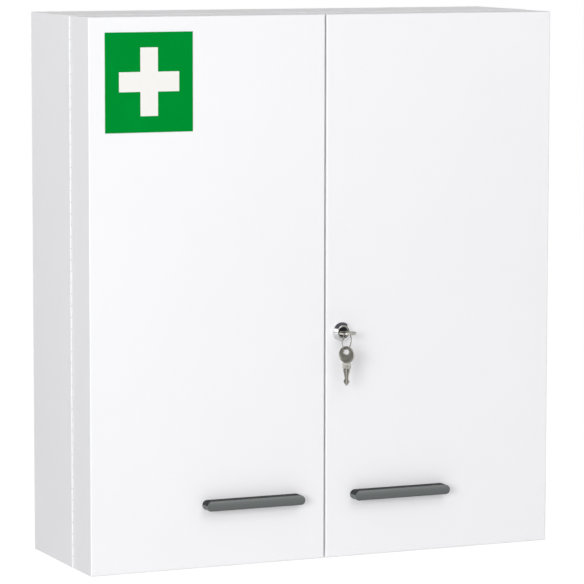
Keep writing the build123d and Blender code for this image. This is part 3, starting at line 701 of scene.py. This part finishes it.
# %% Put both keys in place
def add_key(node, body, hole_place, across_axis, along_axis):
    """The three pieces of one key. Its own axes are the hole's centre, two directions, and the
    direction square to both."""
    through_axis = np.cross(across_axis, along_axis)
    axes = np.array([across_axis, along_axis, through_axis])
    bow, on_edge = bow_grid()
    add_piece(
        node + "_bow", body, "key_nickel", bow @ axes + hole_place,
        grid_faces(*bow.shape[:2], wrap_rows=True), replaced=[node], edge_faces=on_edge,
    )
    collar = collar_grid()
    collar_faces = grid_faces(*collar.shape[:2]) + end_faces(*collar.shape[:2])
    add_piece(
        node + "_collar", body, "key_nickel", collar @ axes + hole_place, collar_faces,
        edge_faces=np.ones(len(collar_faces)),
    )
    blade = blade_grid()
    blade_faces = grid_faces(*blade.shape[:2]) + end_faces(*blade.shape[:2])
    bright = np.tile([1, 0, 0, 1, 0, 0] * 2, blade.shape[0] - 1)
    blade_piece = add_piece(
        node + "_blade", body, "key_nickel", blade @ axes + hole_place, blade_faces,
        edge_faces=np.concatenate([bright, [1, 1]]),
    )
    soften(blade_piece, 0.12 * mm)
    # Where two bevels meet at the spear's corner, some points coincide, so they are joined.
    blade_piece.modifiers.new("joined corners", "WELD").merge_threshold = same_point


key_low, key_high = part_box("key")
add_key(
    "key", "key",
    np.array([(key_low.x + key_high.x) / 2, key_low.y + bow_edge, (key_low.z + key_high.z) / 2]),
    np.array([1.0, 0.0, 0.0]), np.array([0.0, 1.0, 0.0]),
)
ring_turn = math.radians(34.3)  # from the door's face to the ring's plane, seen from above
ring_along = np.array([math.cos(ring_turn), math.sin(ring_turn), 0.0])
ring_axis = np.array([ring_along[1], -ring_along[0], 0.0])
spare_low, spare_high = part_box("spare_key")
spare_middle = (spare_low + spare_high) / 2
add_key(
    "spare_key", "spare_key",
    np.array([spare_middle.x, spare_middle.y, spare_high.z - bow_edge]),
    ring_axis, np.array([0.0, 0.0, -1.0]),
)

# %% [markdown]
# ## The split ring
# A key ring is flat spring wire wound twice round, so that keys can be threaded in between the
# turns. Its path is a circle that steps sideways by one wire's width where the second turn starts.

# %% Wind the ring
ring_low, ring_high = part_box("key_ring")
ring_centre = np.array((ring_low + ring_high) / 2)
ring_radius = 9.5 * mm
wire_deep, wire_wide = 0.44 * mm, 0.25 * mm
ring_turns, ring_start = 1.96, 3.6  # how often the wire goes round, and its first angle
step_at, step_sharpness = ring_turns / 2, 25.0
turns_apart = 1.04  # the distance between the two turns, in widths of the wire


def ring_grid(rows=180, columns=14):
    """An ellipse carried along the ring. After t turns the path is at the angle start + 2 pi t, and
    aside by width * tanh(sharpness * (t - halfway)), which is a short step between two turns."""
    t = np.linspace(0.0, ring_turns, rows)
    angle = ring_start + 2.0 * math.pi * t
    upward = np.array([0.0, 0.0, 1.0])
    outward = np.cos(angle)[:, None] * ring_along + np.sin(angle)[:, None] * upward
    aside = (wire_wide * turns_apart) * np.tanh(step_sharpness * (t - step_at))
    path = ring_centre + ring_radius * outward + aside[:, None] * ring_axis
    around = np.linspace(0.0, 2.0 * math.pi, columns, endpoint=False)
    deep = wire_deep * np.cos(around)[None, :, None] * outward[:, None, :]
    wide = wire_wide * np.sin(around)[None, :, None] * ring_axis
    return path[:, None, :] + deep + wide


ring_points = ring_grid()
add_piece(
    "split_ring", "key_ring", "ring_steel", ring_points,
    grid_faces(*ring_points.shape[:2]) + end_faces(*ring_points.shape[:2]),
    replaced=["key_ring"], fold_degrees=60.0,
)

# %% [markdown]
# ## The continuous hinges
# Each leaf of a continuous hinge is a strip of sheet whose edge is cut into tabs, and every tab is
# rolled round the wire. Seen from the end, a rolled tab is a J. The J's outline is worked out once,
# and numpy copies it to all 24 tabs. Each tab keeps to a few dozen faces, because there are 96.

# %% Roll the hinge leaves
pin_radius, leaf_thick = 1.0 * mm, 0.7 * mm
hinge_gap, leaf_width, leaf_end_gap = 4.0 * mm, 14.0 * mm, 2.4 * mm
end_gap, tab_gap, tab_count = 1.0 * mm, 0.5 * mm, 48
carcass_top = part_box("carcass")[1].z
tab_pitch = (carcass_top - 2 * end_gap) / tab_count


def tab_outline(steps=13):
    """The J seen from above, round the wire's middle: a straight bit from the leaf, then an arc of
    300 degrees. The outer line has the radius pin + thickness, and the inner line the pin's."""
    arc = np.radians(180.0 + np.linspace(0.0, 300.0, steps))
    outer, inner = pin_radius + leaf_thick, pin_radius
    ring_of = np.column_stack([np.cos(arc), np.sin(arc)])
    leaf_end = hinge_gap / 2 + 0.5 * mm
    return np.vstack(
        [[(-outer, leaf_end)], ring_of * outer, (ring_of * inner)[::-1], [(-inner, leaf_end)]]
    )


def hinge_leaf(name, body, node, pin_node, side, towards, first):
    """All the rolled tabs of one leaf, and its flat strip. side is -1 at the left, and towards is
    -1 for the leaf on the door, whose outline is the other's mirror image."""
    pin_low, pin_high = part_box(pin_node)
    pin_x, pin_y = (pin_low.x + pin_high.x) / 2, (pin_low.y + pin_high.y) / 2
    outline = tab_outline() * (side, towards)
    floors = end_gap + np.arange(first, tab_count, 2) * tab_pitch + tab_gap / 2
    levels = floors[:, None] + np.array([0.0, tab_pitch - tab_gap])
    tabs = np.zeros((len(floors), 2, len(outline), 3))
    tabs[..., 0] = pin_x + outline[:, 0]
    tabs[..., 1] = pin_y + outline[:, 1]
    tabs[..., 2] = levels[:, :, None]
    size = (2, len(outline))
    faces = grid_faces(*size, copies=len(floors)) + end_faces(*size, copies=len(floors))
    add_piece(name + "_tabs", body, "hinge_steel", tabs, faces, replaced=[node])

    face_x = pin_x - side * (pin_radius + leaf_thick / 2)
    middle_y = pin_y + towards * (hinge_gap + leaf_width) / 2
    strip = rounded(
        np.array([(-0.5, -0.5), (0.5, -0.5), (0.5, 0.5), (-0.5, 0.5)]) * (leaf_thick, leaf_width),
        0.15 * mm, steps=3,
    )
    rise = np.array([leaf_end_gap, carcass_top - leaf_end_gap])
    leaf = np.zeros((2, len(strip), 3))
    leaf[..., :2] = strip + (face_x, middle_y)
    leaf[..., 2] = rise[:, None]
    leaf_faces = grid_faces(2, len(strip)) + end_faces(2, len(strip))
    add_piece(name + "_strip", body, "hinge_steel", leaf, leaf_faces)


# %% Hang both doors on their hinges
for side_name, side in (("left", -1), ("right", 1)):
    pin_node = side_name + "_hinge_pin"
    hinge_leaf(side_name + "_carcass_leaf", "cabinet", side_name + "_hinge_carcass_leaf",
               pin_node, side, 1, 0)
    hinge_leaf(side_name + "_door_leaf", side_name + "_door", side_name + "_hinge_door_leaf",
               pin_node, side, -1, 1)

# %% [markdown]
# ## Soft edges
# The CAD model's handles and small hardware have the right shape but knife edges. A copy of each
# is joined up, because a CAD mesh is loose triangles, its flat faces are made whole, and a Bevel
# modifier takes its edges off by a few tenths of a millimetre. That thin line of light along an
# edge is much of what makes a thing look made rather than drawn.


# %% Copy hardware and take its edges off
flat = 0.4  # degrees between two faces that are one flat face


def softened_copy(node, body, edge, segments=2):
    """A joined copy of a CAD node, with flat faces made whole and its folds bevelled by edge."""
    mesh = nodes[node].data.copy()
    mesh.name = node + "_soft"
    form = bmesh.new()
    form.from_mesh(mesh)
    bmesh.ops.remove_doubles(form, verts=form.verts, dist=same_point)
    bmesh.ops.dissolve_limit(
        form, angle_limit=math.radians(flat), verts=form.verts, edges=form.edges, delimit={"NORMAL"}
    )
    form.to_mesh(mesh)
    form.free()
    mesh.shade_smooth()
    mesh.set_sharp_from_angle(angle=math.radians(fold))
    piece = bpy.data.objects.new(node + "_soft", mesh)
    bpy.context.scene.collection.objects.link(piece)
    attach(piece, body)
    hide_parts(node)
    soften(piece, edge, segments)
    return piece


# %% Soften the handles and the hardware
softened_hardware = [  # node, body, slot, millimetres taken off, steps of the curve
    ("left_handle", "left_door", "grey_plastic", 0.25, 3),
    ("right_handle", "right_door", "grey_plastic", 0.25, 3),
    ("left_handle_screws", "left_door", "zinc", 0.3, 2),
    ("right_handle_screws", "right_door", "zinc", 0.3, 2),
    ("left_strike_plates", "left_door", "zinc", 0.2, 2),
    ("right_strike_plates", "right_door", "zinc", 0.2, 2),
    ("lock_nut", "right_door", "zinc", 0.5, 2),
    ("lock_cam", "lock_plug", "zinc", 0.3, 2),
    ("cam_screw", "lock_plug", "zinc", 0.3, 2),
    ("door_bolt", "door_bolt", "zinc", 0.4, 2),
    ("bolt_guides", "left_door", "white_steel", 0.25, 2),
    ("magnet_catches", "cabinet", "magnet_black", 0.5, 2),
    ("door_bumpers", "cabinet", "rubber_grey", 0.9, 3),
    ("sign_plate", "left_door", "sign_green", 0.15, 2),
]
for node, body, slot, edge, segments in softened_hardware:
    softened_copy(node, body, edge * mm, segments)
print("softened:", len(softened_hardware), "nodes")

# %% [markdown]
# The finger groove runs along the top of each handle, behind its front lip. The faces that line it
# are found by where they lie, in numpy, and take a near-black finish, which is painted shade.

# %% Paint shade into the finger grooves
lip_depth, groove_depth = 4.3 * mm, 4.6 * mm
for side_name in ("left", "right"):
    handle = bpy.data.objects[side_name + "_handle_soft"]
    handle_low, handle_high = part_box(side_name + "_handle")
    lip_back = handle_low.y + lip_depth
    groove_floor = handle_high.z - groove_depth
    face_count = len(handle.data.polygons)
    middles, facings = np.empty(face_count * 3), np.empty(face_count * 3)
    handle.data.polygons.foreach_get("center", middles)
    handle.data.polygons.foreach_get("normal", facings)
    middles, facings = middles.reshape(-1, 3), facings.reshape(-1, 3)
    behind_lip = (middles[:, 1] > lip_back) & (middles[:, 1] < handle_high.y - 0.1 * mm)
    groove_shade_faces = behind_lip & (middles[:, 2] > groove_floor) & (facings[:, 2] > 0.02)
    handle.data.materials.append(groove_painted_shade)
    handle.data.polygons.foreach_set("material_index", groove_shade_faces.astype(np.int32))
    print(side_name, "groove:", int(groove_shade_faces.sum()), "of", face_count, "faces")
